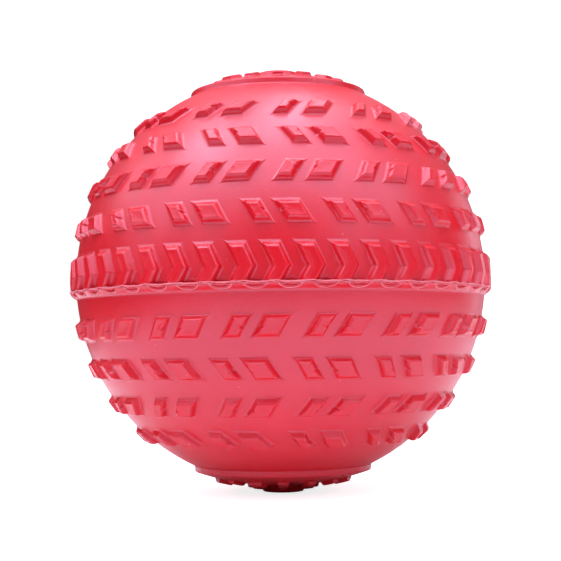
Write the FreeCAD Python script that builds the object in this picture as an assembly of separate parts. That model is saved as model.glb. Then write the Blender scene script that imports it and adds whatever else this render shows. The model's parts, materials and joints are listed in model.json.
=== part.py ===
import FreeCAD
import Part
import math
import os

from FreeCAD import Vector

# Tread-textured rubber slam ball, in millimetres.
#
# The ball stands with its moulding axis along +Z and its origin at the centre. Two thick vinyl half
# covers are welded edge to edge a little below the equator, and a bead of weld squeezes out of the
# joint all round. Each half carries rows of slanted lugs in pairs, a small one beside a large one, and
# a domed disc with a flat hub at its pole. A band of chevron lugs runs along the joint. Inside lie a
# thin liner and a ballast of sand, which settles level. A bush in the upper pole is the filling port.
# A plug with a seal under its head closes it, and pulls straight out.

# Whole ball
BALL_DIAMETER = 230.0        # over the weld bead, and over the polar hubs
LUG_HEIGHT = 3.3
BEAD_PROUD = 0.5             # how far the weld bead stands past the lugs
COVER_RADIUS = BALL_DIAMETER / 2 - LUG_HEIGHT - BEAD_PROUD
COVER_WALL = 6.0
INNER_RADIUS = COVER_RADIUS - COVER_WALL
HUB_TOP = BALL_DIAMETER / 2
SEAM_Z = -6.4                # plane where the halves meet
BEAD_THICKNESS = 0.8
BEAD_DEPTH = 1.5             # how far the bead reaches into the joint

# Slanted lugs, in pairs, in rows mirrored about the equator
FIRST_ROW_LATITUDE = 14.1
ROW_PITCH = 11.15
LUG_LENGTH = 11.0            # along the meridian
SMALL_LUG_WIDTHS = (9.0, 9.0, 8.7, 8.2)       # row by row, from the equator outwards
LARGE_LUG_WIDTHS = (12.9, 12.9, 12.5, 11.9)
PAIR_GAP = 6.0
SLANT = 30.0                 # side edges, from the meridian
WALL_RUN = 2.0               # how far a lug's walls lean in from base to top
ROOT_DEPTH = 1.2             # how far a lug is sunk into the cover
PAIRS = (17, 16, 14, 12)     # pairs round each row
UPPER_START = (-5.6, 2.85, 4.85, 2.9)        # longitude of one small lug in each row
LOWER_START = (-11.2, 7.5, 9.2, 7.2)

# Chevron band
CHEVRONS = 43
CHEVRON_START = 0.3
CHEVRON_WIDTH = 9.6
CHEVRON_UPPER_SLANT = 24.5
CHEVRON_LOWER_SLANT = 29.0
CHEVRON_TOP = 6.4            # latitudes of the band's ends and of its points
CHEVRON_POINT = 0.45
CHEVRON_END = -5.4

# Polar discs
DISC_RADIUS = 48.0
DISC_RIM = 2.7               # height of the rim over the cover
DISC_RIM_RUN = 1.4
DISC_CROWN = 0.3             # height of the dome's middle over the cover
HUB_RADIUS = 11.0
HUB_WALL_RUN = 0.8
DISC_LUG_LENGTH = 8.5
DISC_LUG_WIDTH = 7.0
DISC_RINGS = ((73.0, 15), (81.5, 7))     # latitude and number of lugs in each ring

# Inside
LINER_GAP = 0.2
LINER_WALL = 1.8
SAND_GAP = 0.2
SAND_MASS = 3600.0           # grams
SAND_DENSITY = 1.6e-3        # grams per cubic millimetre, loose and dry
LINER_RADIUS = INNER_RADIUS - LINER_GAP
LINER_INNER = LINER_RADIUS - LINER_WALL
SAND_RADIUS = LINER_INNER - SAND_GAP

# Filling port
PORT_RADIUS = 8.0
PORT_DEPTH = 3.8             # hub top down to the bush
BUSH_BORE = 5.0
BUSH_FLANGE = 15.0
BUSH_FLANGE_THICKNESS = 2.5
BUSH_TAIL = 3.0              # below the flange
PLUG_SUNK = 0.3              # plug head below the hub top
PLUG_HEAD_RADIUS = 7.4
PLUG_HEAD_THICKNESS = 2.4
PLUG_EDGE = 0.5
PLUG_CLEARANCE = 0.05
PLUG_LENGTH = 16.0           # stem under the head
PLUG_GROOVE = 0.6
PLUG_GROOVES = 3
PRY_SLOT_WIDTH = 2.0
PRY_SLOT_DEPTH = 1.0
SEAL_THICKNESS = 0.8
SEAL_RADIUS = 7.2

ORIGIN = Vector(0, 0, 0)
X_AXIS = Vector(1, 0, 0)
Z_AXIS = Vector(0, 0, 1)


def export(name, shape):
    """Writes one sub-part, after a check that it is one sound closed solid."""
    solids = shape.Solids
    assert len(solids) == 1 and solids[0].isValid() and solids[0].Volume > 0, name
    solids[0].exportStep(os.path.join("parts", name + ".step"))
    print(name, len(solids[0].Faces), "faces", round(solids[0].Volume), "mm3")


# Outlines in the XZ plane, as points (distance from the axis, height)

def point(p):
    return Vector(p[0], 0, p[1])


def line(a, b):
    return Part.LineSegment(point(a), point(b)).toShape()


def arc(a, middle, b):
    return Part.Arc(point(a), point(middle), point(b)).toShape()


def revolve(edges):
    """Solid of revolution about Z from the edges of a closed outline, in order."""
    return Part.Face(Part.Wire(edges)).revolve(ORIGIN, Z_AXIS, 360)


def turned(points):
    """Solid of revolution about Z from the corners of a closed outline."""
    loop = list(points) + [points[0]]
    return revolve([line(a, b) for a, b in zip(loop, loop[1:])])


def at_height(radius, z):
    return (math.sqrt(radius**2 - z**2), z)


def at_distance(radius, r):
    return (r, math.sqrt(radius**2 - r**2))


def sphere_arc(radius, a, b):
    """Arc about the origin between two of its points."""
    middle = (math.atan2(a[1], a[0]) + math.atan2(b[1], b[0])) / 2
    return arc(a, (radius * math.cos(middle), radius * math.sin(middle)), b)


def slab(low, high):
    """Box wider than the ball, between two heights."""
    side = 2 * BALL_DIAMETER
    return Part.makeBox(side, side, high - low, Vector(-side / 2, -side / 2, low))


# Half covers

def rim_edge():
    """Upper edge of a polar disc's rim."""
    angle = math.asin((DISC_RADIUS - DISC_RIM_RUN) / COVER_RADIUS)
    radius = COVER_RADIUS + DISC_RIM
    return (radius * math.sin(angle), radius * math.cos(angle))


def dome_point(r):
    """Point of a polar disc's dome, which passes through its rim edge and its crown."""
    rim_r, rim_z = rim_edge()
    crown = COVER_RADIUS + DISC_CROWN
    rise = crown - rim_z
    radius = (rim_r**2 + rise**2) / (2 * rise)
    return (r, crown - radius + math.sqrt(radius**2 - r**2))


def half_cover(seam, port_radius):
    """Half cover above height seam, with its disc and hub, and a port where port_radius is not 0."""
    inner_foot = at_height(INNER_RADIUS, seam)
    slot_foot = (at_height(COVER_RADIUS, seam)[0] - BEAD_DEPTH, seam)
    slot_top = (slot_foot[0], seam + BEAD_THICKNESS / 2)
    outer_foot = at_height(COVER_RADIUS, slot_top[1])
    disc_foot = at_distance(COVER_RADIUS, DISC_RADIUS)
    hub_foot = dome_point(HUB_RADIUS + HUB_WALL_RUN)
    hub_edge = (HUB_RADIUS, HUB_TOP)
    hub_middle = (port_radius, HUB_TOP)
    inner_top = at_distance(INNER_RADIUS, port_radius)
    return revolve([
        line(inner_foot, slot_foot),
        line(slot_foot, slot_top),
        line(slot_top, outer_foot),
        sphere_arc(COVER_RADIUS, outer_foot, disc_foot),
        line(disc_foot, rim_edge()),
        arc(rim_edge(), dome_point((rim_edge()[0] + hub_foot[0]) / 2), hub_foot),
        line(hub_foot, hub_edge),
        line(hub_edge, hub_middle),
        line(hub_middle, inner_top),
        sphere_arc(INNER_RADIUS, inner_top, inner_foot),
    ])


# Lugs. An outline's X is east and its Y north.

def offset_corners(corners, distance):
    """Corners of a polygon, anticlockwise, with every side moved in by distance."""
    moved = []
    for i, corner in enumerate(corners):
        before = corner - corners[i - 1]
        after = corners[(i + 1) % len(corners)] - corner
        first = Vector(-before.y, before.x, 0).normalize()
        second = Vector(-after.y, after.x, 0).normalize()
        moved.append(corner + (first + second) * (distance / (1 + first.dot(second))))
    return moved


def polar_lug(corners):
    """Lug with drafted walls and a top concentric with the cover, standing on the cover's pole."""
    loops = []
    for level in (-ROOT_DEPTH, LUG_HEIGHT + ROOT_DEPTH):
        flat = offset_corners(corners, WALL_RUN * level / LUG_HEIGHT)
        loops.append([Vector(p.x, p.y, COVER_RADIUS + level) for p in flat])
    faces = [Part.Face(Part.makePolygon(loop + loop[:1])) for loop in loops]
    bottom, top = loops
    for i in range(len(corners)):
        j = (i + 1) % len(corners)
        wall = [bottom[i], bottom[j], top[j], top[i], bottom[i]]
        faces.append(Part.Face(Part.makePolygon(wall)))
    block = Part.makeSolid(Part.makeShell(faces))
    return block.common(Part.makeSphere(COVER_RADIUS + LUG_HEIGHT))


def turn(shape, axis, degrees):
    copy = shape.copy()
    copy.rotate(ORIGIN, axis, degrees)
    return copy


def lug_ring(lug, latitude, first, count):
    """Copies of a polar lug, brought down to a latitude and set evenly round it. Longitude 0 is -Y."""
    lowered = turn(lug, X_AXIS, 90 - latitude)
    return [turn(lowered, Z_AXIS, first + i * 360.0 / count) for i in range(count)]


def slanted(width, length, lean):
    """Corners of a parallelogram whose upper side stands east of its lower side by lean."""
    x = width / 2
    y = length / 2
    e = lean / 2
    return [Vector(-x - e, -y, 0), Vector(x - e, -y, 0), Vector(x + e, y, 0), Vector(-x + e, y, 0)]


def slanted_rows(side, starts):
    """Every slanted lug of one half. side is 1 above the equator and -1 below it."""
    lugs = []
    for row, (pairs, start) in enumerate(zip(PAIRS, starts)):
        small_width = SMALL_LUG_WIDTHS[row]
        large_width = LARGE_LUG_WIDTHS[row]
        step = (small_width + large_width) / 2 + PAIR_GAP
        latitude = side * (FIRST_ROW_LATITUDE + row * ROW_PITCH)
        turnover = -side if row % 2 == 0 else side      # the slant turns over from row to row
        lean = turnover * LUG_LENGTH * math.tan(math.radians(SLANT))
        small = polar_lug(slanted(small_width, LUG_LENGTH, lean))
        large = polar_lug(slanted(large_width, LUG_LENGTH, lean))
        apart = math.degrees(step / (COVER_RADIUS * math.cos(math.radians(latitude))))
        lugs += lug_ring(small, latitude, start, pairs)
        lugs += lug_ring(large, latitude, start + apart, pairs)
    return lugs


def chevron_band():
    """The chevrons, each with its point to the east."""
    middle = (CHEVRON_TOP + CHEVRON_END) / 2
    heights = [math.radians(a - middle) * COVER_RADIUS for a in (CHEVRON_END, CHEVRON_POINT, CHEVRON_TOP)]
    low, mid, high = heights
    half = CHEVRON_WIDTH / 2
    lower_x = (low - mid) * math.tan(math.radians(CHEVRON_LOWER_SLANT))
    upper_x = (mid - high) * math.tan(math.radians(CHEVRON_UPPER_SLANT))
    corners = [
        Vector(lower_x - half, low, 0),
        Vector(lower_x + half, low, 0),
        Vector(half, mid, 0),
        Vector(upper_x + half, high, 0),
        Vector(upper_x - half, high, 0),
        Vector(-half, mid, 0),
    ]
    return lug_ring(polar_lug(corners), middle, CHEVRON_START, CHEVRONS)


def disc_lugs(side):
    """Two rings of small upright lugs on a polar disc."""
    lugs = []
    lug = polar_lug(slanted(DISC_LUG_WIDTH, DISC_LUG_LENGTH, 0))
    for latitude, count in DISC_RINGS:
        lugs += lug_ring(lug, side * latitude, 0, count)
    return lugs


def whole_cover(side, starts, port_radius):
    """One finished half cover."""
    cover = half_cover(side * SEAM_Z, port_radius)
    if side < 0:
        cover = turn(cover, X_AXIS, 180)
    bead_face = SEAM_Z + side * BEAD_THICKNESS / 2
    own_side = slab(min(bead_face, side * BALL_DIAMETER), max(bead_face, side * BALL_DIAMETER))
    lugs = [chevron.common(own_side) for chevron in chevron_band()]
    lugs += slanted_rows(side, starts)
    lugs += disc_lugs(side)
    return cover.fuse(lugs)


def weld_bead():
    inner = at_height(COVER_RADIUS, SEAM_Z)[0] - BEAD_DEPTH
    low = SEAM_Z - BEAD_THICKNESS / 2
    high = SEAM_Z + BEAD_THICKNESS / 2
    outer = BALL_DIAMETER / 2
    crest = outer - BEAD_THICKNESS / 2
    return turned([(inner, low), (crest, low), (outer, SEAM_Z), (crest, high), (inner, high)])


# Inside

def liner():
    """Closed skin, but for the hole that the bush passes through."""
    shell = Part.makeSphere(LINER_RADIUS).cut(Part.makeSphere(LINER_INNER))
    return shell.cut(Part.makeCylinder(PORT_RADIUS, BALL_DIAMETER))


def sand_level():
    """Height of the ballast's surface, from its mass."""
    wanted = SAND_MASS / SAND_DENSITY
    low = 0.0
    high = 2 * SAND_RADIUS
    while high - low > 0.001:
        depth = (low + high) / 2
        if math.pi * depth**2 * (3 * SAND_RADIUS - depth) / 3 < wanted:
            low = depth
        else:
            high = depth
    return low - SAND_RADIUS


def sand():
    return Part.makeSphere(SAND_RADIUS).common(slab(-BALL_DIAMETER, sand_level()))


# Filling port

def bush():
    """Tube through the cover and the liner, with a flange under the liner."""
    top = HUB_TOP - PORT_DEPTH
    flange_top = at_distance(LINER_INNER, BUSH_FLANGE)[1]
    flange_bottom = flange_top - BUSH_FLANGE_THICKNESS
    tail = flange_bottom - BUSH_TAIL
    return turned([
        (BUSH_BORE, tail),
        (PORT_RADIUS, tail),
        (PORT_RADIUS, flange_bottom),
        (BUSH_FLANGE, flange_bottom),
        (BUSH_FLANGE, flange_top),
        (PORT_RADIUS, flange_top),
        (PORT_RADIUS, top),
        (BUSH_BORE, top),
    ])


def plug():
    """Plug with a grooved stem and a slot across its head to pry it by."""
    top = HUB_TOP - PLUG_SUNK
    under = top - PLUG_HEAD_THICKNESS
    stem = BUSH_BORE - PLUG_CLEARANCE
    end = under - PLUG_LENGTH
    points = [
        (0, top),
        (PLUG_HEAD_RADIUS - PLUG_EDGE, top),
        (PLUG_HEAD_RADIUS, top - PLUG_EDGE),
        (PLUG_HEAD_RADIUS, under),
        (stem, under),
    ]
    pitch = PLUG_LENGTH / (2 * PLUG_GROOVES + 1)
    for i in range(PLUG_GROOVES):
        start = under - (2 * i + 1) * pitch
        points += [
            (stem, start),
            (stem - PLUG_GROOVE, start - PLUG_GROOVE),
            (stem - PLUG_GROOVE, start - pitch),
            (stem, start - pitch),
        ]
    points += [(stem, end + PLUG_EDGE), (stem - PLUG_EDGE, end), (0, end)]
    slot = Part.makeBox(2 * BALL_DIAMETER, PRY_SLOT_WIDTH, BALL_DIAMETER)
    slot.translate(Vector(-BALL_DIAMETER, -PRY_SLOT_WIDTH / 2, top - PRY_SLOT_DEPTH))
    return turned(points).cut(slot)


def seal():
    top = HUB_TOP - PLUG_SUNK - PLUG_HEAD_THICKNESS
    inner = BUSH_BORE - PLUG_CLEARANCE
    bottom = top - SEAL_THICKNESS
    return turned([(inner, bottom), (SEAL_RADIUS, bottom), (SEAL_RADIUS, top), (inner, top)])


os.makedirs("parts", exist_ok=True)
export("upper_cover", whole_cover(1, UPPER_START, PORT_RADIUS))
export("lower_cover", whole_cover(-1, LOWER_START, 0))
export("weld_bead", weld_bead())
export("liner", liner())
export("sand_ballast", sand())
export("filler_bush", bush())
export("filler_plug", plug())
export("plug_seal", seal())
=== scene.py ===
import json
import math
import random

import bmesh
import bpy
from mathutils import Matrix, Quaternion, Vector, kdtree, noise
from mathutils.geometry import delaunay_2d_cdt

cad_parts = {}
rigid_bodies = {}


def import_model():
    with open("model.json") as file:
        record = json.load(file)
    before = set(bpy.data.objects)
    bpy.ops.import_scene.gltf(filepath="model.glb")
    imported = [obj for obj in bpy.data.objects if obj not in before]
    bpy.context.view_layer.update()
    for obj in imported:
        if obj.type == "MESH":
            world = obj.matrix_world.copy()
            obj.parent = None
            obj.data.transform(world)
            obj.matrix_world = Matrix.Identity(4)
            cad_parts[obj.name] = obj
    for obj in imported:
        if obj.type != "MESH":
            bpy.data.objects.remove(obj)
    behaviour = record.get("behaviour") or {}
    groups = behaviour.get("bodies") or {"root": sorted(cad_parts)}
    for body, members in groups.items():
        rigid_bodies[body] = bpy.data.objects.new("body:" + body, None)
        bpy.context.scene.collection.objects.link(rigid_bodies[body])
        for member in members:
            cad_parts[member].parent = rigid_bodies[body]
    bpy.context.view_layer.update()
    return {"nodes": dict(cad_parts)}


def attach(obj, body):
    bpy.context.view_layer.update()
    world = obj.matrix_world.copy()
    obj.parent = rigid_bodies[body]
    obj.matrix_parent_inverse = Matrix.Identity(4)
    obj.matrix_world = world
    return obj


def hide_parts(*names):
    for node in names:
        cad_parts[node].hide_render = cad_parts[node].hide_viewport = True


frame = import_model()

for obj in [o for o in bpy.data.objects if o.name in ("Cube", "Light", "Camera")]:
    bpy.data.objects.remove(obj)

# A tread-textured slam ball. Lengths are in millimetres here and become metres when a mesh is made.
# A point of a cover is a direction from the ball's centre and a height over the bare cover.

MM = 0.001
SEED = 7

# Sizes that the CAD model also has
COVER_RADIUS = 111.2
COVER_WALL = 6.0
INNER_RADIUS = COVER_RADIUS - COVER_WALL
OUTER_RADIUS = 115.0
LUG_HEIGHT = 3.3
SEAM_LATITUDE = math.degrees(math.asin(-6.4 / COVER_RADIUS))

# Slanted lugs
FIRST_ROW_LATITUDE = 14.1
ROW_PITCH = 11.15
LUG_LENGTH = 11.0
SMALL_WIDTHS = (9.0, 9.0, 8.7, 8.2)      # row by row, from the equator outwards
LARGE_WIDTHS = (12.9, 12.9, 12.5, 11.9)
PAIR_GAP = 6.0
SLANT = 30.0
PAIRS = (17, 16, 14, 12)
UPPER_START = (-5.6, 2.85, 4.85, 2.9)    # longitude of each row's first pair
LOWER_START = (-11.2, 7.5, 9.2, 7.2)

# How a lug rises from its outline inwards, as pairs (inset, share of its height)
LUG_LEVELS = (
    (-0.9, 0.0),
    (-0.42, 0.0),
    (-0.24, 0.06),
    (0.0, 0.075),
    (0.25, 0.12),
    (0.7, 0.37),
    (1.05, 0.66),
    (1.2, 0.76),
    (1.9, 0.965),
    (2.0, 0.99),
    (2.2, 1.0),
    (2.7, 0.965),
)
# How much more the walls to the north and to the south lean, as factors
UPPER_WALLS = (1.45, 1.0)
LOWER_WALLS = ((0.75, 1.3), (0.75, 1.3), (0.9, 1.2), (1.2, 1.0))
SUNK_TOP = 0.94              # the middle of a lug's top has sunk a little
TOP_GRID = 1.6               # between points of that sunk middle
LEAST_NOTCHED = 0.1          # share of a lug's height under which its side has no notch
NOTCH_DEPTH = 0.85
NOTCH_WIDTH = 0.6
FLARE = 1.3                  # how far a sharp corner of a lug's foot runs out
FLARE_REACH = 1.6            # and how far along the sides that starts

# Chevron band
CHEVRONS = 43
CHEVRON_START = 0.3
CHEVRON_WIDTH = 9.6
CHEVRON_TOP = 6.4
CHEVRON_POINT = 0.45
CHEVRON_FOOT = -12.0         # the outline's south end, below the seam that cuts it off
CHEVRON_SPACING = 1.3        # between points along a chevron's outline
CHEVRON_GRID = (1.3, 1.25)   # between points of a chevron's top, to the east and to the north
UPPER_SLANT = 24.5
LOWER_SLANT = 29.0
SCOOP_FLOOR = 0.5            # height of a scoop's floor, as a share of the belt's
SCOOP_DEPTH = 3.2            # how far the scoop between two chevrons runs below the seam
BELT_DEPTH = 4.3             # how far the belt below the seam runs down to the bare cover

BELT_ROWS = 12
BELT_SPACING = 1.3           # between points of the belt
SEAM_SPACING = 1.2           # between points on the seam

# Polar discs
DISC_RADIUS = 48.0
DOME_RADIUS = 144.7
DOME_CROWN = 111.5
# Rings of marks as (latitude, number, length, widths, range of heights)
DISC_RINGS = (
    (73.0, 15, 8.5, (5.0, 6.5, 8.5), (1.5, 2.4)),
    (81.5, 7, 6.0, (6.0,), (2.2, 2.8)),
)
# The disc's edge, as pairs (distance outside its radius, rise)
RIM_PROFILE = ((1.7, 0), (0.9, 0), (0.45, 0.06), (0.15, 0.4), (-0.85, 2.2), (-1.1, 2.5))
DOME_EDGE = (1.5, 2.3)       # the dome's first rings, as distances inside the disc's radius
# The hub, as pairs (radius, rise over the dome) and then (radius, distance from the ball's centre)
HUB_FOOT = ((13.0, 0), (12.3, 0), (11.95, 0.1), (11.7, 0.5))
HUB_SIDE = ((11.2, 114.3), (11.0, 114.72), (10.6, 114.9))
PORT_LIP = ((10.0, 114.93), (8.7, 114.93), (8.25, 114.8))
PORT_RADIUS = 8.0
SUNK_CENTRE = 114.4          # the port's edge, and the middle of the shut hub's shallow dimple
# The shut hub's flat end and dimple, as (radius, distance from the ball's centre, points)
HUB_END = (
    (10.0, 114.93, 96),
    (6.0, 114.93, 48),
    (2.6, 114.93, 32),
    (2.2, 114.8, 32),
    (1.6, SUNK_CENTRE, 24),
)
RIM_POINTS = 360
DOME_POINTS = 300
HUB_POINTS = 96

LUG_SPACING = 1.6            # between points along a lug outline
BASE_SPACING = 2.4           # between points of the bare cover
ROW_SHARE = 0.87             # between its rows, as a share of that
CLEARANCE = 1.5              # from the bare cover's points to a lug
RIM_CLEARANCE = (3.2, 3.9)   # and to the disc's edge, outside and inside it
HUB_CLEARANCE = 14.0         # and to the pole
INSIDE_SEGMENTS = 96
INSIDE_ROWS = 26

# The bead
BEAD_PHASE = 0.12            # where the bead crosses a chevron, in pitches
BEAD_POINTS = 26             # to each chevron
STRAND_POINTS = 16
# Loose threads as (drop under the seam, height over the cover, radius)
STRANDS = ((0.5, 2.9, 0.2), (1.1, 2.5, 0.16))
LIP_LEVEL = -3               # the level of LUG_LEVELS that a scoop's lip follows
LIP_RADIUS = 0.28
LIP_STEPS = 18

# Where the camera stood
CAMERA_DISTANCE = 6.5
CAMERA_ELEVATION = -3.2
CAMERA_ROLL = -0.8
SENSOR_WIDTH = 36.0
FOCAL_LENGTH = 84.2

# Dust on the vinyl
DUST_SCALE = 130.0
DUST_COLOUR = (0.80, 0.30, 0.36, 1.0)

# The room, in metres
FLOOR = -0.115
PAPER_SIDES = (-0.4, 0.8)
PAPER_FRONT = -0.6
PAPER_TOP = 4.0
BEND = 0.8
BACK = 1.6
PAPER_GLOW = 0.8             # for the camera only, so that the floor comes out white
COOL = (0.93, 0.86, 1.0)     # colour of the lamps


def unit(latitude, longitude):
    """Direction at a latitude and longitude in degrees. Longitude 0 faces -Y, and east is +X there."""
    a = math.radians(latitude)
    b = math.radians(longitude)
    return Vector((math.sin(b) * math.cos(a), -math.cos(b) * math.cos(a), math.sin(a)))


def tangent_frame(latitude, longitude):
    """Directions (outward, east, north) at a place."""
    outward = unit(latitude, longitude)
    b = math.radians(longitude)
    east = Vector((math.cos(b), math.sin(b), 0.0))
    return outward, east, outward.cross(east)


def smooth(x):
    """Eases from 0 to 1."""
    x = min(max(x, 0.0), 1.0)
    return x * x * (3 - 2 * x)


def link(name, vertices, faces):
    """Makes a smooth-shaded mesh object from points in millimetres."""
    mesh = bpy.data.meshes.new(name)
    mesh.from_pydata([Vector(v) * MM for v in vertices], [], faces)
    mesh.update()
    mesh.polygons.foreach_set("use_smooth", [True] * len(mesh.polygons))
    obj = bpy.data.objects.new(name, mesh)
    bpy.context.scene.collection.objects.link(obj)
    return obj


# Outlines in a lug's own plane

def inset_corners(corners, distance, walls=(1.0, 1.0)):
    """Corners of the outline a distance inside another, times a factor at its north and south edges."""
    def edge(a, b):
        inwards = Vector((a.y - b.y, b.x - a.x)).normalized()
        factor = 1.0
        if abs(inwards.y) > 0.99:
            factor = walls[0] if inwards.y < 0 else walls[1]
        return inwards, distance * factor

    moved = []
    for i, corner in enumerate(corners):
        first, near = edge(corners[i - 1], corner)
        second, far = edge(corner, corners[(i + 1) % len(corners)])
        c = first.dot(second)
        along = first * (near - c * far) + second * (far - c * near)
        moved.append(corner + along / (1 - c * c))
    return moved


def rounded(corners, walls, share, spacing):
    """Points round a lug's outline at a share of its height. Sharp corners run out towards the foot."""
    points = []
    count = len(corners)
    radius = 0.15 + 0.2 * share
    outwards = [(b - a).normalized() for a, b in zip(corners, inset_corners(corners, -1, walls))]
    reaches = []
    for i, corner in enumerate(corners):
        before = (corners[i - 1] - corner).normalized()
        after = (corners[(i + 1) % count] - corner).normalized()
        sharp = smooth((before.dot(after) - 0.15) / 0.3)
        reaches.append((before, after, sharp, radius + FLARE_REACH * sharp * (1 - share)))
    for i, corner in enumerate(corners):
        before, after, sharp, reach = reaches[i]
        out = outwards[i] * (FLARE * sharp * (1 - share) ** 2)
        tip = [corner + out]
        if sharp:
            near, far = (corner + way * (0.4 * reach) + out * 0.25 for way in (before, after))
            tip = [near, corner + out, far]
        points += [corner + before * reach] + tip + [corner + after * reach]
        start = corner + after * reach
        end = corners[(i + 1) % count] - after * reaches[(i + 1) % count][3]
        steps = max(1, round((end - start).length / spacing))
        points += [start.lerp(end, k / steps) for k in range(1, steps)]
    return points


def inside(corners, p):
    """Whether a point is in a polygon whose corners run anticlockwise."""
    hit = False
    for i, a in enumerate(corners):
        b = corners[i - 1]
        if (a.y > p.y) != (b.y > p.y) and p.x < (b.x - a.x) * (p.y - a.y) / (b.y - a.y) + a.x:
            hit = not hit
    return hit


def parallelogram(width, length, lean):
    x = width / 2
    y = length / 2
    e = lean / 2
    return [Vector((-x - e, -y)), Vector((x - e, -y)), Vector((x + e, y)), Vector((-x + e, y))]


def chevron_corners(low, high):
    """Outline of a chevron between two heights over its point, which is to the east."""
    lower_x = low * math.tan(math.radians(LOWER_SLANT))
    upper_x = -high * math.tan(math.radians(UPPER_SLANT))
    half = CHEVRON_WIDTH / 2
    return [
        Vector((lower_x - half, low)),
        Vector((lower_x + half, low)),
        Vector((half, 0.0)),
        Vector((upper_x + half, high)),
        Vector((upper_x - half, high)),
        Vector((-half, 0.0)),
    ]


# Heights over the bare cover

def unevenness(direction):
    """Slight waviness of the soft cover."""
    return 0.07 * noise.noise(direction * 3.1) + 0.025 * noise.noise(direction * 11.0)


def dome_height(direction):
    """Height of a polar disc's dome, a sphere flatter than the cover."""
    cosine = abs(direction.z)
    centre = DOME_CROWN - DOME_RADIUS
    sine2 = 1 - cosine * cosine
    return centre * cosine + math.sqrt(DOME_RADIUS**2 - centre * centre * sine2) - COVER_RADIUS


def belt_height(depth):
    """Height of the belt under the seam, at an arc distance below it."""
    return LUG_HEIGHT * (1 - smooth(depth / BELT_DEPTH) ** 1.15)


def scoop_height(share, depth):
    """Height in the scoop between two chevrons, from its floor to the belt."""
    return belt_height(depth) * (SCOOP_FLOOR + (1 - SCOOP_FLOOR) * share)


class Skin:
    """Outer surface of one cover: points, and edges that its triangles must follow."""

    def __init__(self, side):
        self.side = side
        self.flat = []
        self.solid = []
        self.edges = []
        self.lugs = []

    def add(self, direction, height):
        """Adds a point, also as its place on a plane that the half sphere is laid out on."""
        share = 1 + direction.z * self.side
        self.flat.append(Vector((direction.x / share, direction.y * self.side / share)))
        self.solid.append(direction * (COVER_RADIUS + height + unevenness(direction)))
        return len(self.flat) - 1

    def run(self, indices, closed):
        """Makes triangles follow a run of points."""
        self.edges += list(zip(indices, indices[1:]))
        if closed:
            self.edges.append((indices[-1], indices[0]))

    def ring(self, r, z, count):
        """Closed ring about the axis. z is measured from the centre towards this cover's pole."""
        radius = math.hypot(r, z)
        latitude = self.side * math.degrees(math.asin(z / radius))
        turns = [k * 360.0 / count for k in range(count)]
        indices = [self.add(unit(latitude, t), radius - COVER_RADIUS) for t in turns]
        self.run(indices, True)
        return indices

    def claim(self, latitude, longitude, corners):
        """Keeps the bare cover's points out of an outline."""
        grown = inset_corners(corners, LUG_LEVELS[0][0] - CLEARANCE)
        self.lugs.append((tangent_frame(latitude, longitude), grown))

    def free(self, tree, direction):
        """Whether no lug claims a direction."""
        for _, index, _ in tree.find_n(direction, 4):
            (outward, east, north), corners = self.lugs[index]
            p = direction * (COVER_RADIUS / max(direction.dot(outward), 0.1))
            if inside(corners, Vector((p.dot(east), p.dot(north)))):
                return False
        return True

    def triangles(self):
        """Points, triangles between them and where each added point went."""
        result = delaunay_2d_cdt(self.flat, self.edges, [], 0, 1e-7, True)
        faces, origins = result[2], result[3]
        assert all(origins), "outlines cross"
        moved = {old: new for new, group in enumerate(origins) for old in group}
        return [self.solid[group[0]] for group in origins], faces, moved


def notched(outline, corners, side, share):
    """An outline with a small bite out of the middle of its east or west side, above the base."""
    if share < LEAST_NOTCHED:
        return outline
    bottom, top = (corners[1], corners[2]) if side > 0 else (corners[0], corners[3])

    def on_side(p):
        return abs(p.x - bottom.lerp(top, (p.y - bottom.y) / (top.y - bottom.y)).x) < 0.01

    result = []
    for p, following in zip(outline, outline[1:] + outline[:1]):
        finer = 4 if on_side(p) and on_side(following) and abs(p.y + following.y) < 4.0 else 1
        for k in range(finer):
            q = p.lerp(following, k / finer)
            bite = NOTCH_DEPTH * math.exp(-((q.y / NOTCH_WIDTH) ** 2)) if on_side(q) else 0.0
            result.append(Vector((q.x - side * bite, q.y)))
    return result


def add_lug(
    skin, latitude, longitude, corners, notch=0, walls=(1.0, 1.0), draft=1.0, tall=LUG_HEIGHT, ground=None
):
    """Adds the nested outlines of one lug, from the cover to its top.

    draft is a factor on their insets, and ground gives the height of what the lug stands on.
    """
    outward, east, north = tangent_frame(latitude, longitude)

    def place(p, share):
        direction = (outward * COVER_RADIUS + east * p.x + north * p.y).normalized()
        base = ground(direction) if ground else 0.0
        return skin.add(direction, base + tall * share)

    for inset, share in LUG_LEVELS:
        moved = inset_corners(corners, inset * draft, walls)
        outline = rounded(moved, walls, share, LUG_SPACING)
        if notch:
            outline = notched(outline, moved, notch, share)
        skin.run([place(p, share) for p in outline], True)
    core = inset_corners(corners, (LUG_LEVELS[-1][0] + 0.5) * draft, walls)
    xs = [p.x for p in core]
    ys = [p.y for p in core]
    columns = math.ceil((max(xs) - min(xs)) / TOP_GRID)
    rows = math.ceil((max(ys) - min(ys)) / TOP_GRID)
    for i in range(columns + 1):
        for j in range(rows + 1):
            p = Vector((min(xs) + i * TOP_GRID, min(ys) + j * TOP_GRID))
            if inside(core, p):
                place(p, SUNK_TOP)
    skin.claim(latitude, longitude, corners)


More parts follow.
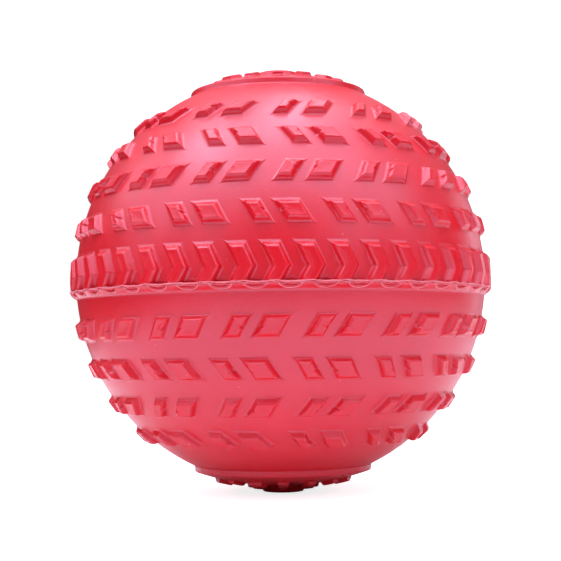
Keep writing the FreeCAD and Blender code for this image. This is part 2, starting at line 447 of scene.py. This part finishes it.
def add_slanted_rows(skin, starts, chance):
    """The rows of slanted lugs in pairs, each pair a small lug and a large one."""
    for row, (pairs, start) in enumerate(zip(PAIRS, starts)):
        small, large = SMALL_WIDTHS[row], LARGE_WIDTHS[row]
        step = (small + large) / 2 + PAIR_GAP
        latitude = skin.side * (FIRST_ROW_LATITUDE + row * ROW_PITCH)
        turnover = -skin.side if row % 2 == 0 else skin.side
        lean = turnover * LUG_LENGTH * math.tan(math.radians(SLANT))
        apart = math.degrees(step / (COVER_RADIUS * math.cos(math.radians(latitude))))
        for i in range(pairs):
            for width, ahead, notch in ((small, 0.0, 1), (large, apart, -1)):
                longitude = start + ahead + i * 360.0 / pairs + chance.uniform(-0.06, 0.06)
                length = LUG_LENGTH * chance.uniform(0.99, 1.01)
                corners = parallelogram(width * chance.uniform(0.985, 1.015), length, lean)
                walls = UPPER_WALLS if skin.side > 0 else LOWER_WALLS[row]
                add_lug(skin, latitude, longitude, corners, notch, walls)


def add_disc(skin, chance):
    """The polar disc, its two rings of small lugs and its hub. Returns the port's ring, if there is one."""
    side = skin.side
    foot = math.asin(DISC_RADIUS / COVER_RADIUS)
    for outward, rise in RIM_PROFILE:
        angle = foot + outward / COVER_RADIUS
        radius = COVER_RADIUS + rise
        skin.ring(radius * math.sin(angle), radius * math.cos(angle), RIM_POINTS)
    for inward in DOME_EDGE:
        latitude = 90 - math.degrees(foot - inward / COVER_RADIUS)
        radius = COVER_RADIUS + dome_height(unit(latitude, 0))
        angle = math.radians(latitude)
        skin.ring(radius * math.cos(angle), radius * math.sin(angle), DOME_POINTS)
    for latitude, count, length, widths, heights in DISC_RINGS:
        for i in range(count):
            width = chance.choice(widths) if len(widths) > 1 else widths[0]
            tall = chance.uniform(*heights)
            mark = parallelogram(width, length, 0)
            place = side * latitude, i * 360.0 / count
            add_lug(skin, *place, mark, draft=0.5, tall=tall, ground=dome_height)
    for r, rise in HUB_FOOT:
        z = math.sqrt(DOME_RADIUS**2 - r * r) + DOME_CROWN - DOME_RADIUS + rise
        skin.ring(r, z, HUB_POINTS)
    for r, z in HUB_SIDE:
        skin.ring(r, z, HUB_POINTS)
    if side > 0:
        for r, z in PORT_LIP:
            skin.ring(r, z, HUB_POINTS)
        return skin.ring(PORT_RADIUS, SUNK_CENTRE, HUB_POINTS)
    for r, z, count in HUB_END:
        skin.ring(r, z, count)
    skin.add(Vector((0, 0, -1)), SUNK_CENTRE - COVER_RADIUS)
    return None


def seam_crossings(outline, outward, east, north):
    """Splits a chevron's outline at the seam: the directions above it, from its west end to its east end."""
    directions = [(outward * COVER_RADIUS + east * p.x + north * p.y).normalized() for p in outline]
    limit = math.sin(math.radians(SEAM_LATITUDE))
    count = len(directions)
    above = [d.z > limit for d in directions]
    first = next(i for i in range(count) if above[i] and not above[i - 1])
    kept = []
    i = first
    while above[i % count]:
        kept.append(directions[i % count])
        i += 1
    ends = []
    for inner, outer in ((kept[0], directions[first - 1]), (kept[-1], directions[i % count])):
        share = (limit - inner.z) / (outer.z - inner.z)
        crossing = inner.lerp(outer, share)
        ends.append(unit(SEAM_LATITUDE, math.degrees(math.atan2(crossing.x, -crossing.y))))
    return [ends[0]] + kept[1:-1] + [ends[1]]


def chevron_levels():
    """Each chevron's longitude and its outlines above the seam at each level, and the whole outline."""
    high = math.radians(CHEVRON_TOP - CHEVRON_POINT) * COVER_RADIUS
    corners = chevron_corners(CHEVRON_FOOT, high)
    result = []
    for k in range(CHEVRONS):
        longitude = CHEVRON_START + k * 360.0 / CHEVRONS
        axes = tangent_frame(CHEVRON_POINT, longitude)
        levels = []
        for inset, share in LUG_LEVELS:
            moved = inset_corners(corners, inset, UPPER_WALLS)
            outline = rounded(moved, UPPER_WALLS, share, CHEVRON_SPACING)
            levels.append((seam_crossings(outline, *axes), share))
        result.append((longitude, levels))
    return result, corners


def azimuth(direction):
    """Longitude of a direction, in radians from 0 to a full turn."""
    return math.atan2(direction.x, -direction.y) % math.tau


def seam_stops(chevrons):
    """Every point on the seam in order: (angle, share of a lug's height, whether an outline ends there)."""
    stops = []
    for _, levels in chevrons:
        for outline, share in levels:
            stops += [(azimuth(outline[0]), share), (azimuth(outline[-1]), share)]
    stops.sort()
    filled = []
    for (a, low), (b, high) in zip(stops, stops[1:] + [(stops[0][0] + math.tau, stops[0][1])]):
        filled.append((a, low, True))
        steps = max(1, round((b - a) * COVER_RADIUS / SEAM_SPACING))
        for k in range(1, steps):
            filled.append((a + (b - a) * k / steps, low + (high - low) * k / steps, False))
    return filled


def add_seam(skin, stops):
    """Adds the boundary ring. Returns its indices, and each given angle's index."""
    ring = []
    at = {}
    for angle, share, given in stops:
        direction = unit(SEAM_LATITUDE, math.degrees(angle))
        index = skin.add(direction, share * LUG_HEIGHT if skin.side > 0 else scoop_height(share, 0))
        ring.append(index)
        if given:
            at[round(angle % math.tau, 7)] = index
    skin.run(ring, True)
    return ring, at


def add_chevrons(skin, chevrons, corners, at):
    """The chevrons above the seam, whose outlines end at the seam's boundary points."""
    for longitude, levels in chevrons:
        for outline, share in levels:
            run = [at[round(azimuth(outline[0]), 7)]]
            run += [skin.add(d, share * LUG_HEIGHT) for d in outline[1:-1]]
            run.append(at[round(azimuth(outline[-1]), 7)])
            skin.run(run, False)
        outward, east, north = tangent_frame(CHEVRON_POINT, longitude)
        core = inset_corners(corners, LUG_LEVELS[-1][0] + 0.4, UPPER_WALLS)
        low = math.radians(SEAM_LATITUDE - CHEVRON_POINT) * COVER_RADIUS + 0.9
        for i in range(-3, 4):
            for j in range(14):
                p = Vector((i * CHEVRON_GRID[0], low + j * CHEVRON_GRID[1]))
                if inside(core, p):
                    direction = (outward * COVER_RADIUS + east * p.x + north * p.y).normalized()
                    skin.add(direction, SUNK_TOP * LUG_HEIGHT)
        skin.claim(CHEVRON_POINT, longitude, corners)


def add_belt(skin, chevrons, at):
    """The belt under the seam, with a scoop in it between each chevron and the next."""
    insets = [level[0] for level in LUG_LEVELS]
    scoops = []
    for k, (_, levels) in enumerate(chevrons):
        following = chevrons[(k + 1) % CHEVRONS][1]
        for i, (outline, share) in enumerate(levels):
            start = azimuth(outline[0])
            width = (azimuth(following[i][0][-1]) - start) % math.tau
            across = width * COVER_RADIUS / 2
            spread = (insets[i] - insets[0]) / (insets[-1] - insets[0])
            deep = SCOOP_DEPTH * (0.3 + 0.7 * spread)
            run = [at[round(start, 7)]]
            steps = max(6, round((across + deep) * 1.6))
            for j in range(1, steps):
                t = math.pi * j / steps
                below = deep * math.sin(t) ** 0.9
                latitude = SEAM_LATITUDE - math.degrees(below / COVER_RADIUS)
                longitude = math.degrees(start + width * (0.5 - 0.5 * math.cos(t)))
                run.append(skin.add(unit(latitude, longitude), scoop_height(share, below)))
            run.append(at[round((start + width) % math.tau, 7)])
            skin.run(run, False)
        scoops.append(start + width / 2)
        reach = across
    for j in range(1, BELT_ROWS + 1):
        below = j * (BELT_DEPTH + 0.5) / BELT_ROWS
        latitude = SEAM_LATITUDE - math.degrees(below / COVER_RADIUS)
        count = round(math.tau * COVER_RADIUS / BELT_SPACING)
        for i in range(count):
            angle = (i + 0.5 * (j % 2)) * math.tau / count
            gap = min(abs((angle - s + math.pi) % math.tau - math.pi) for s in scoops) * COVER_RADIUS
            if (gap / (reach + 0.5)) ** 2 + (below / (SCOOP_DEPTH + 0.45)) ** 2 > 1:
                skin.add(unit(latitude, math.degrees(angle)), belt_height(below))


def add_bare_cover(skin, chance):
    """Points all over the bare cover and the disc's dome, clear of every lug and ring."""
    tree = kdtree.KDTree(len(skin.lugs))
    for i, ((outward, _, _), _) in enumerate(skin.lugs):
        tree.insert(outward, i)
    tree.balance()
    foot = COVER_RADIUS * (math.pi / 2 - math.asin(DISC_RADIUS / COVER_RADIUS))
    pole = COVER_RADIUS * math.pi / 2
    seam = skin.side * math.radians(SEAM_LATITUDE) * COVER_RADIUS
    arc = seam + (1.3 if skin.side > 0 else BELT_DEPTH + 1.6)
    while arc < pole - HUB_CLEARANCE:
        if not foot - RIM_CLEARANCE[0] < arc < foot + RIM_CLEARANCE[1]:
            radius = COVER_RADIUS * math.cos(arc / COVER_RADIUS)
            count = round(math.tau * radius / BASE_SPACING)
            phase = chance.random()
            for i in range(count):
                wobble = chance.uniform(-0.25, 0.25)
                latitude = skin.side * math.degrees((arc + wobble) / COVER_RADIUS)
                direction = unit(latitude, (i + phase) * 360.0 / count)
                if skin.free(tree, direction):
                    skin.add(direction, dome_height(direction) if arc > foot else 0.0)
        arc += BASE_SPACING * ROW_SHARE


def zip_rings(first, second):
    """Triangles between two rings given as lists of (angle, vertex), each in order of angle."""
    faces = []
    i = j = 0
    while i < len(first) or j < len(second):
        a = first[i % len(first)]
        b = second[j % len(second)]
        next_a = first[(i + 1) % len(first)]
        next_b = second[(j + 1) % len(second)]
        angle_a = next_a[0] + (math.tau if i + 1 >= len(first) else 0)
        angle_b = next_b[0] + (math.tau if j + 1 >= len(second) else 0)
        if j >= len(second) or (i < len(first) and angle_a <= angle_b):
            faces.append((a[1], next_a[1], b[1]))
            i += 1
        else:
            faces.append((a[1], next_b[1], b[1]))
            j += 1
    return faces


def make_cover(name, side, starts, chevrons, corners, stops):
    """One cover as a closed mesh: its moulded outside, its joint face, its inside and its port."""
    chance = random.Random(SEED + side)
    skin = Skin(side)
    seam, at = add_seam(skin, stops)
    if side > 0:
        add_chevrons(skin, chevrons, corners, at)
    else:
        add_belt(skin, chevrons, at)
    add_slanted_rows(skin, starts, chance)
    port = add_disc(skin, chance)
    add_bare_cover(skin, chance)
    vertices, faces, moved = skin.triangles()
    hole = {moved[i] for i in port} if port else set()
    faces = [f for f in faces if not all(v in hole for v in f)]
    segments = INSIDE_SEGMENTS
    top = math.acos(PORT_RADIUS / INNER_RADIUS) if side > 0 else math.pi / 2 - 0.02
    low = math.radians(SEAM_LATITUDE) * side
    rings = []
    for r in range(INSIDE_ROWS + 1):
        latitude = side * math.degrees(low + (top - low) * r / INSIDE_ROWS)
        ring = []
        for k in range(segments):
            ring.append(len(vertices))
            vertices.append(unit(latitude, k * 360.0 / segments) * INNER_RADIUS)
        rings.append(ring)
    for a, b in zip(rings, rings[1:]):
        for k in range(segments):
            following = (k + 1) % segments
            faces.append((a[k], a[following], b[following], b[k]))
    outer = sorted((azimuth(vertices[moved[i]]), moved[i]) for i in seam)
    inner = [(k * math.tau / segments, v) for k, v in enumerate(rings[0])]
    faces += zip_rings(outer, inner)
    if port:
        mouth = sorted((azimuth(vertices[moved[i]]), moved[i]) for i in port)
        inner = [(k * math.tau / segments, v) for k, v in enumerate(rings[-1])]
        faces += zip_rings(mouth, inner)
    else:
        faces.append(tuple(rings[-1]))
    return close_mesh(name, vertices, faces)


def close_mesh(name, vertices, faces):
    """Makes the mesh, turns its faces outwards and prints how many faces and open edges it has."""
    obj = link(name, vertices, faces)
    work = bmesh.new()
    work.from_mesh(obj.data)
    loose = [v for v in work.verts if not v.link_faces]
    bmesh.ops.delete(work, geom=loose, context="VERTS")
    bmesh.ops.recalc_face_normals(work, faces=work.faces)
    open_edges = sum(1 for e in work.edges if len(e.link_faces) != 2)
    print(name, len(work.faces), "faces,", open_edges, "open edges")
    work.to_mesh(obj.data)
    work.free()
    obj.data.update()
    return obj


def tube(vertices, faces, path, radius):
    """Adds a closed tube along a path of points, thinning to its ends."""
    sides = 6
    first = len(vertices)
    count = len(path)
    for i, point in enumerate(path):
        ahead = (path[min(i + 1, count - 1)] - path[max(i - 1, 0)]).normalized()
        outward = point.normalized()
        across = ahead.cross(outward).normalized()
        thick = radius * (0.45 + 0.55 * math.sin(math.pi * i / (count - 1)))
        for k in range(sides):
            turn = math.tau * k / sides
            vertices.append(point + (across * math.cos(turn) + outward * math.sin(turn)) * thick)
    for i in range(count - 1):
        for k in range(sides):
            a = first + i * sides + k
            b = first + i * sides + (k + 1) % sides
            faces.append((a, b, b + sides, a + sides))
    faces.append(tuple(range(first + sides - 1, first - 1, -1)))
    faces.append(tuple(range(first + (count - 1) * sides, first + count * sides)))


def close_round(faces, first, count, sides):
    """Faces of a loop made of sections with the same number of points, from its first point on."""
    for k in range(count):
        for i in range(sides):
            a = first + k * sides + i
            b = first + k * sides + (i + 1) % sides
            shift = sides * (1 if k + 1 < count else 1 - count)
            faces.append((a, b, b + shift, a + shift))


def add_bead_ring(vertices, faces):
    """The fin that stands out of the seam, ragged in reach, height and thickness."""
    first = len(vertices)
    count = CHEVRONS * BEAD_POINTS
    seam = unit(SEAM_LATITUDE, 0).z * COVER_RADIUS
    root = math.sqrt(COVER_RADIUS**2 - seam**2) - 1.3
    for k in range(count):
        around = unit(0, k * 360.0 / count)
        ragged = noise.noise(around * 55.0) + 0.7 * noise.noise(around * 130.0)
        reach = min(COVER_RADIUS + LUG_HEIGHT + 0.2 + 0.3 * ragged, OUTER_RADIUS - 0.03)
        phase = math.cos(math.tau * (k / BEAD_POINTS + BEAD_PHASE))
        wander = 0.3 * noise.noise(around * 24.0) + 0.2 * noise.noise(around * 90.0)
        middle = seam + 0.22 * phase + wander
        thick = 0.38 + 0.12 * noise.noise(around * 40.0 + Vector((5, 0, 0)))
        section = (
            (root, seam + 0.35),
            (COVER_RADIUS + 2.2, middle + thick),
            (reach - 0.2, middle + thick * 0.6),
            (reach, middle),
            (reach - 0.25, middle - thick * 0.6),
            (COVER_RADIUS + 2.2, middle - thick),
            (root, seam - 0.35),
        )
        vertices += [around * r + Vector((0, 0, z)) for r, z in section]
    close_round(faces, first, count, len(section))


def add_strand(vertices, faces, drop, height, radius):
    """A loose thread of squeezed vinyl right round, under the fin, which shows in the scoops."""
    count = CHEVRONS * STRAND_POINTS
    sides = 5
    seam = unit(SEAM_LATITUDE, 0).z * COVER_RADIUS
    first = len(vertices)
    for k in range(count):
        around = unit(0, k * 360.0 / count)
        wander = noise.noise(around * 45.0 + Vector((drop, 0, 0)))
        thick = radius * (1 + 0.6 * noise.noise(around * 80.0 + Vector((0, drop, 0))))
        r = COVER_RADIUS + height + 0.2 * wander
        for i in range(sides):
            turn = math.tau * i / sides
            z = seam - drop + 0.45 * wander + thick * math.sin(turn)
            vertices.append(around * (r + thick * math.cos(turn)) + Vector((0, 0, z)))
    close_round(faces, first, count, sides)


def make_bead(chevrons):
    """The thin ragged ridge squeezed out of the seam, with a lip round each scoop under it."""
    vertices = []
    faces = []
    add_bead_ring(vertices, faces)
    for drop, height, radius in STRANDS:
        add_strand(vertices, faces, drop, height, radius)
    for k, (_, levels) in enumerate(chevrons):
        following = chevrons[(k + 1) % CHEVRONS][1]
        start = azimuth(levels[LIP_LEVEL][0][0])
        width = (azimuth(following[LIP_LEVEL][0][-1]) - start) % math.tau
        path = []
        for j in range(LIP_STEPS + 1):
            t = math.pi * j / LIP_STEPS
            at = 0.5 - 0.5 * math.cos(t)
            wander = noise.noise(unit(0, math.degrees(start + width * at)) * 60.0)
            below = 0.95 * SCOOP_DEPTH * math.sin(t) ** 0.9 + 0.2 * wander
            latitude = SEAM_LATITUDE - math.degrees(below / COVER_RADIUS)
            direction = unit(latitude, math.degrees(start + width * at))
            path.append(direction * (COVER_RADIUS + belt_height(below) + 0.1 * wander))
        tube(vertices, faces, path, LIP_RADIUS)
    return close_mesh("weld_bead_look", vertices, faces)


# Materials

def new_material(name):
    """A material with its nodes, its links and its shader."""
    material = bpy.data.materials.new(name)
    material.use_nodes = True
    nodes = material.node_tree.nodes
    return material, nodes, material.node_tree.links, nodes["Principled BSDF"]


def speckled(name, dark, light, scale, roughness, bump=0.0, bump_scale=900.0, dust=0.0, **sockets):
    """Material whose colour drifts between two values, with fine unevenness and pale specks of dust."""
    material, nodes, links, shader = new_material(name)
    place = nodes.new("ShaderNodeTexCoord")
    drift = nodes.new("ShaderNodeTexNoise")
    drift.inputs["Scale"].default_value = scale
    drift.inputs["Detail"].default_value = 3.0
    ramp = nodes.new("ShaderNodeValToRGB")
    ramp.color_ramp.elements[0].position = 0.3
    ramp.color_ramp.elements[0].color = (*dark, 1.0)
    ramp.color_ramp.elements[1].position = 0.7
    ramp.color_ramp.elements[1].color = (*light, 1.0)
    links.new(place.outputs["Object"], drift.inputs["Vector"])
    links.new(drift.outputs["Fac"], ramp.inputs["Fac"])
    links.new(ramp.outputs["Color"], shader.inputs["Base Color"])
    if dust:
        cells = nodes.new("ShaderNodeTexVoronoi")
        cells.inputs["Scale"].default_value = DUST_SCALE
        near = nodes.new("ShaderNodeMath")
        near.operation = "LESS_THAN"
        near.inputs[1].default_value = dust
        specks = nodes.new("ShaderNodeMixRGB")
        specks.inputs["Color2"].default_value = DUST_COLOUR
        links.new(place.outputs["Object"], cells.inputs["Vector"])
        links.new(cells.outputs["Distance"], near.inputs[0])
        links.new(near.outputs["Value"], specks.inputs["Fac"])
        links.new(ramp.outputs["Color"], specks.inputs["Color1"])
        links.new(specks.outputs["Color"], shader.inputs["Base Color"])
    shader.inputs["Roughness"].default_value = roughness
    for socket, value in sockets.items():
        shader.inputs[socket.replace("_", " ")].default_value = value
    if bump:
        grain = nodes.new("ShaderNodeTexNoise")
        grain.inputs["Scale"].default_value = bump_scale
        grain.inputs["Detail"].default_value = 2.0
        relief = nodes.new("ShaderNodeBump")
        relief.inputs["Strength"].default_value = bump
        relief.inputs["Distance"].default_value = 0.0002
        links.new(place.outputs["Object"], grain.inputs["Vector"])
        links.new(grain.outputs["Fac"], relief.inputs["Height"])
        links.new(relief.outputs["Normal"], shader.inputs["Normal"])
    return material


def vary_with_height(material, socket, low, high):
    """Gives a socket one value on the bare cover and another on what stands over it."""
    nodes = material.node_tree.nodes
    links = material.node_tree.links
    place = nodes.new("ShaderNodeTexCoord")
    reach = nodes.new("ShaderNodeVectorMath")
    reach.operation = "LENGTH"
    change = nodes.new("ShaderNodeMapRange")
    change.inputs["From Min"].default_value = (COVER_RADIUS + 0.15) * MM
    change.inputs["From Max"].default_value = (COVER_RADIUS + 0.7) * MM
    change.inputs["To Min"].default_value = low
    change.inputs["To Max"].default_value = high
    links.new(place.outputs["Object"], reach.inputs[0])
    links.new(reach.outputs["Value"], change.inputs["Value"])
    links.new(change.outputs["Result"], nodes["Principled BSDF"].inputs[socket])


def softbox(name, place, width, height, power):
    """Area light at a place in metres, facing the ball's centre."""
    light = bpy.data.lights.new(name, "AREA")
    light.shape = "RECTANGLE"
    light.size = width
    light.size_y = height
    light.energy = power
    light.color = COOL
    obj = bpy.data.objects.new(name, light)
    bpy.context.scene.collection.objects.link(obj)
    obj.location = place
    obj.rotation_mode = "QUATERNION"
    obj.rotation_quaternion = (Vector() - Vector(place)).to_track_quat("-Z", "Y")


# The covers and the bead
vinyl = speckled(
    "Vinyl", (0.68, 0.0072, 0.0155), (0.74, 0.0095, 0.0205),
    scale=14.0, roughness=0.29, bump=0.6, bump_scale=1900.0, dust=0.035,
    Subsurface_Weight=0.05, Subsurface_Scale=0.002, Specular_Tint=(0.35, 0.78, 1.0, 1.0),
)
# The bare cover has a satin bloom, and the lugs came cleaner out of the mould
vary_with_height(vinyl, "Specular IOR Level", 1.0, 0.8)
vary_with_height(vinyl, "Roughness", 0.29, 0.23)
bead_vinyl = speckled(
    "Bead vinyl", (0.78, 0.14, 0.18), (0.86, 0.27, 0.32),
    scale=260.0, roughness=0.4,
    Subsurface_Weight=0.2, Subsurface_Scale=0.002,
)
chevrons, chevron_outline = chevron_levels()
stops = seam_stops(chevrons)
upper = make_cover("upper_cover_look", 1, UPPER_START, chevrons, chevron_outline, stops)
lower = make_cover("lower_cover_look", -1, LOWER_START, chevrons, chevron_outline, stops)
bead = make_bead(chevrons)
for obj, node, material, finish in (
    (upper, "upper_cover", vinyl, "cover"),
    (lower, "lower_cover", vinyl, "cover"),
    (bead, "weld_bead", bead_vinyl, "bead"),
):
    obj.data.materials.append(material)
    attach(obj, "ball")
    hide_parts(node)

# The pieces that keep their CAD shape
plain = {
    "liner": speckled("Liner", (0.012, 0.012, 0.013), (0.02, 0.02, 0.021), 40.0, 0.6, 0.2),
    "sand_ballast": speckled("Sand", (0.36, 0.25, 0.14), (0.62, 0.48, 0.30), 900.0, 0.95, 0.8, 1400.0),
    "filler_bush": speckled("Bush nylon", (0.02, 0.02, 0.022), (0.03, 0.03, 0.032), 90.0, 0.5, 0.2),
    "filler_plug": speckled("Plug nylon", (0.55, 0.02, 0.035), (0.62, 0.03, 0.045), 90.0, 0.45, 0.3),
    "plug_seal": speckled("Seal rubber", (0.01, 0.01, 0.01), (0.02, 0.02, 0.02), 90.0, 0.7, 0.2),
}
for node, material in plain.items():
    mesh = frame["nodes"][node].data
    mesh.materials.clear()
    mesh.materials.append(material)

# The studio: a pale sweep of paper, a dim room and large soft lights
quarter = [math.pi * k / 32 for k in range(1, 17)]
profile = [(PAPER_FRONT, 0.0), (BACK, 0.0)]
profile += [(BACK + BEND * math.sin(a), BEND - BEND * math.cos(a)) for a in quarter]
profile.append((BACK + BEND, PAPER_TOP))
sweep = [Vector((x, y, z + FLOOR)) / MM for y, z in profile for x in PAPER_SIDES]
strips = [(2 * i, 2 * i + 1, 2 * i + 3, 2 * i + 2) for i in range(len(profile) - 1)]
paper = link("Paper sweep", sweep, strips)
white = speckled("White paper", (0.92, 0.92, 0.92), (0.94, 0.94, 0.94), 2.0, 0.9)
paper.data.materials.append(white)
glow = white.node_tree.nodes["Principled BSDF"].inputs
glow["Emission Color"].default_value = (0.96, 1.0, 1.0, 1.0)
lift = white.node_tree.nodes.new("ShaderNodeMath")
lift.operation = "MULTIPLY"
lift.inputs[1].default_value = PAPER_GLOW
watched = white.node_tree.nodes.new("ShaderNodeLightPath")
white.node_tree.links.new(watched.outputs["Is Camera Ray"], lift.inputs[0])
white.node_tree.links.new(lift.outputs["Value"], glow["Emission Strength"])

world = bpy.data.worlds.new("Studio")
bpy.context.scene.world = world
world.use_nodes = True
nodes = world.node_tree.nodes
links = world.node_tree.links
direction = nodes.new("ShaderNodeTexCoord")
split = nodes.new("ShaderNodeSeparateXYZ")
sky = nodes.new("ShaderNodeValToRGB")
sky.color_ramp.elements[0].position = 0.25
sky.color_ramp.elements[0].color = (0.08, 0.07, 0.08, 1.0)
sky.color_ramp.elements[1].position = 0.75
sky.color_ramp.elements[1].color = (0.74, 0.67, 0.78, 1.0)
links.new(direction.outputs["Generated"], split.inputs["Vector"])
links.new(split.outputs["Z"], sky.inputs["Fac"])
seen = nodes.new("ShaderNodeLightPath")
pale = nodes.new("ShaderNodeMixRGB")
pale.inputs["Color2"].default_value = (1.0, 1.0, 1.0, 1.0)
links.new(seen.outputs["Is Camera Ray"], pale.inputs["Fac"])
links.new(sky.outputs["Color"], pale.inputs["Color1"])
links.new(pale.outputs["Color"], nodes["Background"].inputs["Color"])
bpy.context.scene.view_settings.view_transform = "Standard"

softbox("Overhead", (0.0, -0.55, 1.35), 2.0, 1.3, 20.0)
softbox("High back", (0.0, 0.42, 1.3), 1.6, 0.35, 3.5)
softbox("High left", (-0.62, -0.1, 1.15), 0.4, 0.4, 3.5)
softbox("High front", (0.08, 0.14, 1.34), 0.32, 0.75, 4.0)
softbox("Left", (-1.2, -0.45, 1.0), 0.7, 0.7, 3.0)
softbox("Right", (1.2, -0.45, 1.0), 0.7, 0.7, 3.0)
softbox("Far left", (-1.05, 0.3, 0.76), 0.45, 0.45, 1.5)
softbox("Left side", (-1.45, -0.3, 0.5), 0.6, 0.8, 1.5)
softbox("Right side", (1.45, -0.3, 0.5), 0.6, 0.8, 1.0)
softbox("Front left", (-1.0, -1.2, 0.6), 0.6, 0.6, 1.5)
softbox("Front right", (1.0, -1.2, 0.6), 0.6, 0.6, 2.0)
softbox("Rim right", (1.0, 1.1, 0.2), 0.4, 0.6, 1.5)

lens = bpy.data.cameras.new("Camera")
lens.sensor_width = SENSOR_WIDTH
lens.lens = FOCAL_LENGTH
lens.clip_start = 0.01
camera = bpy.data.objects.new("Camera", lens)
bpy.context.scene.collection.objects.link(camera)
bpy.context.scene.camera = camera
back = unit(CAMERA_ELEVATION, 0)
camera.location = back * (CAMERA_DISTANCE * COVER_RADIUS * MM)
camera.rotation_mode = "QUATERNION"
roll = Quaternion(back, math.radians(CAMERA_ROLL))
camera.rotation_quaternion = roll @ (-back).to_track_quat("-Z", "Y")
